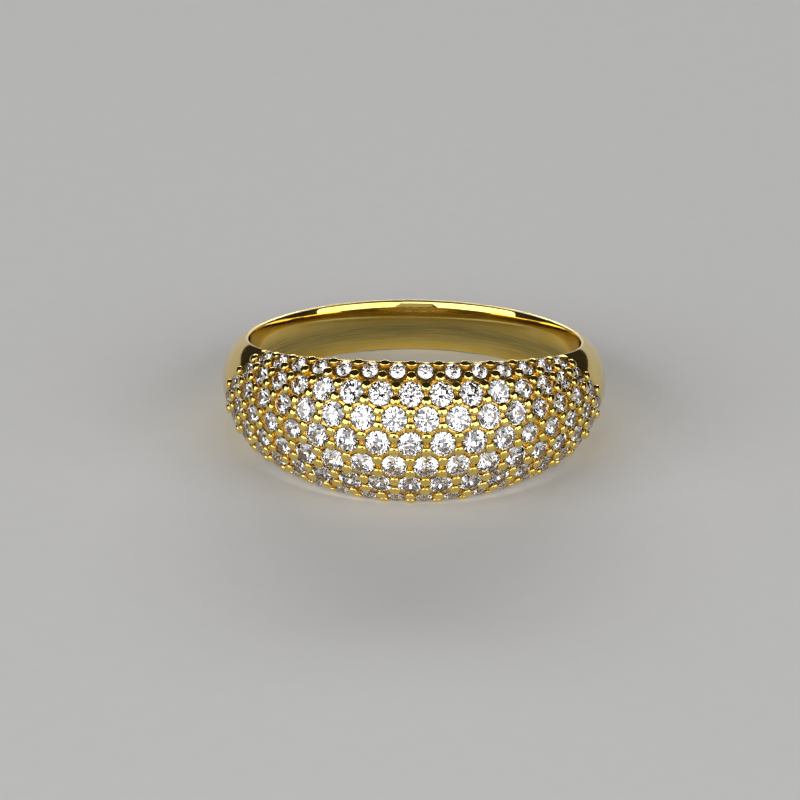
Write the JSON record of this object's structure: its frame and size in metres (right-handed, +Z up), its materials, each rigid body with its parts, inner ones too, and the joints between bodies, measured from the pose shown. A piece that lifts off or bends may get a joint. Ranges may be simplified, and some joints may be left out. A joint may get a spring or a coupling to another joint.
{
  "type": "dome ring",
  "caption": "Yellow gold dome ring with a lens of pave set round white stones held by beads, tapering to a narrow D section band.",
  "frame": {"origin": "centre of the bounding box's bottom face, on the surface the ring lies on", "axes": "+Z up from that surface, -Y towards the middle of the dome, +X along the ring's width from shoulder to shoulder"},
  "size_m": [0.0202, 0.0208, 0.0077],
  "materials": {
    "gold": "polished yellow gold plating",
    "stone": "brilliant cut, polished"
  },
  "bodies": {
    "root": {"band": "gold", "pave_stones": "stone"}
  },
  "joints": []
}
